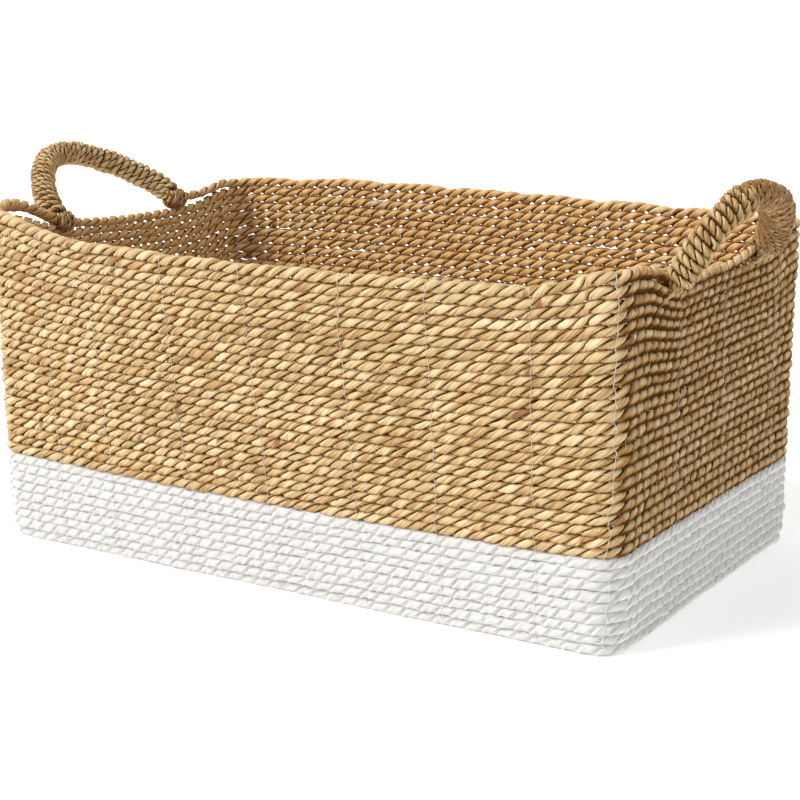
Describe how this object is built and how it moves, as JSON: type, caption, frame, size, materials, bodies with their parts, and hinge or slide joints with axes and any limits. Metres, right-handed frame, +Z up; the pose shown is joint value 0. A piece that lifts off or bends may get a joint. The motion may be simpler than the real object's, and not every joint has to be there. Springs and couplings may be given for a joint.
{
  "type": "storage basket",
  "caption": "Rectangular coiled seagrass rope basket, painted round the foot, with two wrapped arch handles that swing on the rim.",
  "frame": {"origin": "centre of the base mat's underside, on the floor", "axes": "+X along the basket's length, +Y towards the back wall, +Z up"},
  "size_m": [0.7177, 0.4297, 0.3407],
  "materials": {
    "natural_seagrass": "dry twisted plant fibre, slight sheen",
    "painted_seagrass": "twisted plant fibre under matte white paint",
    "handle_cord": "tightly wound twisted plant fibre",
    "binding_thread": "thin pale translucent nylon"
  },
  "bodies": {
    "basket": {"base_mat": "natural_seagrass", "painted_rope_1": "painted_seagrass", "painted_rope_2": "painted_seagrass", "painted_rope_3": "painted_seagrass", "natural_rope_1": "natural_seagrass", "natural_rope_2": "natural_seagrass", "natural_rope_3": "natural_seagrass", "natural_rope_4": "natural_seagrass", "natural_rope_5": "natural_seagrass", "natural_rope_6": "natural_seagrass", "natural_rope_7": "natural_seagrass", "natural_rope_8": "natural_seagrass", "front_thread_1": "binding_thread", "front_thread_2": "binding_thread", "front_thread_3": "binding_thread", "front_thread_4": "binding_thread", "front_thread_5": "binding_thread", "front_thread_6": "binding_thread", "front_thread_7": "binding_thread", "back_thread_1": "binding_thread", "back_thread_2": "binding_thread", "back_thread_3": "binding_thread", "back_thread_4": "binding_thread", "back_thread_5": "binding_thread", "back_thread_6": "binding_thread", "back_thread_7": "binding_thread", "left_thread_1": "binding_thread", "left_thread_2": "binding_thread", "left_thread_3": "binding_thread", "right_thread_1": "binding_thread", "right_thread_2": "binding_thread", "right_thread_3": "binding_thread", "corner_thread_1": "binding_thread", "corner_thread_2": "binding_thread", "corner_thread_3": "binding_thread", "corner_thread_4": "binding_thread"},
    "left_handle": {"left_handle_core": "handle_cord", "left_handle_wrap": "handle_cord", "left_handle_front_eye": "handle_cord", "left_handle_back_eye": "handle_cord"},
    "right_handle": {"right_handle_core": "handle_cord", "right_handle_wrap": "handle_cord", "right_handle_front_eye": "handle_cord", "right_handle_back_eye": "handle_cord"}
  },
  "joints": [
    {"name": "left_handle_swing", "type": "hinge", "parent": "basket", "child": "left_handle", "pos_m": [-0.29834, 0, 0.26452], "axis": [0, 1, 0], "range_deg": [-30, 102]},
    {"name": "right_handle_swing", "type": "hinge", "parent": "basket", "child": "right_handle", "pos_m": [0.29192, 0, 0.26645], "axis": [0, 1, 0], "range_deg": [-80, 52]}
  ]
}
